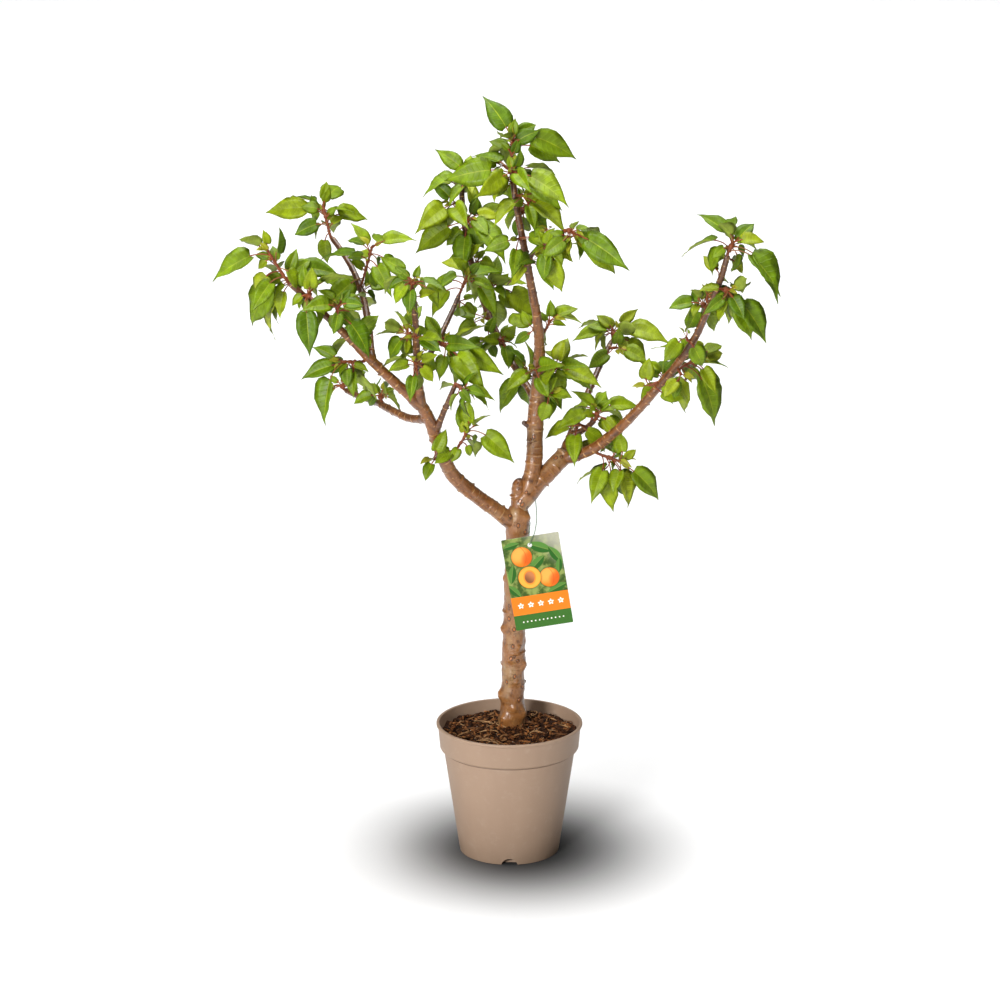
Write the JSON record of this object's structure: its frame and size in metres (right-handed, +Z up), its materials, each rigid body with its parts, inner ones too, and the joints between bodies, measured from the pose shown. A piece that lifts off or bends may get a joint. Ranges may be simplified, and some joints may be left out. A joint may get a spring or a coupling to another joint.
{
  "type": "potted dwarf apricot tree",
  "caption": "Young dwarf apricot tree with an upright trunk, forked open crown and heart-shaped leaves, standing in a round taupe plastic nursery pot with a hanging picture tag.",
  "frame": {"origin": "centre of the pot's flat underside, on the surface it stands on", "axes": "+Z up, +X to the right of the side the picture shows, +Y away from that side"},
  "size_m": [0.8159, 0.4645, 1.1616],
  "materials": {
    "pot": "satin moulded taupe plastic",
    "substrate": "moist dark potting mix of bark chips, fibre and perlite",
    "bark": "smooth glossy reddish brown bark with pale ring scars",
    "leaves": "thin medium yellow-green leaves, slightly glossy above",
    "tag": "glossy printed plastic card",
    "tie": "thin grey-green coated wire"
  },
  "bodies": {
    "root": {"pot": "pot", "substrate": "substrate", "trunk": "bark", "leader": "bark", "leader_left": "bark", "leader_twig": "bark", "left_bough": "bark", "left_low": "bark", "left_outer": "bark", "left_stub": "bark", "left_upper": "bark", "left_vertical": "bark", "left_vertical_right": "bark", "right_bough": "bark", "right_lower": "bark", "right_twig": "bark", "right_upper": "bark", "leader_left_foot_leaves": "leaves", "leader_left_high_leaves": "leaves", "leader_left_low_leaves": "leaves", "leader_left_mid_leaves": "leaves", "leader_left_tip_leaves": "leaves", "leader_left_tuft_leaves": "leaves", "leader_low_leaves": "leaves", "leader_mid_leaves": "leaves", "leader_neck_leaves": "leaves", "leader_shoulder_leaves": "leaves", "leader_stub_leaves": "leaves", "leader_tip_leaves": "leaves", "leader_twig_mid_leaves": "leaves", "leader_twig_tip_leaves": "leaves", "left_bough_twig_leaves": "leaves", "left_low_mid_leaves": "leaves", "left_low_tip_leaves": "leaves", "left_outer_drop_leaves": "leaves", "left_outer_end_leaves": "leaves", "left_outer_fork_leaves": "leaves", "left_outer_mid_leaves": "leaves", "left_outer_tip_leaves": "leaves", "left_outer_tuft_leaves": "leaves", "left_stub_tip_leaves": "leaves", "left_upper_back_leaves": "leaves", "left_upper_tip_leaves": "leaves", "left_upper_twig_leaves": "leaves", "left_vertical_low_leaves": "leaves", "left_vertical_mid_leaves": "leaves", "left_vertical_right_mid_leaves": "leaves", "left_vertical_right_tip_leaves": "leaves", "left_vertical_tip_leaves": "leaves", "right_lower_high_leaves": "leaves", "right_lower_mid_leaves": "leaves", "right_lower_tip_leaves": "leaves", "right_lower_twig_leaves": "leaves", "right_lower_under_leaves": "leaves", "right_lower_upper_leaves": "leaves", "right_twig_tip_leaves": "leaves", "right_upper_tip_leaves": "leaves", "tag": "tag", "tag_tie": "tie"}
  },
  "joints": []
}
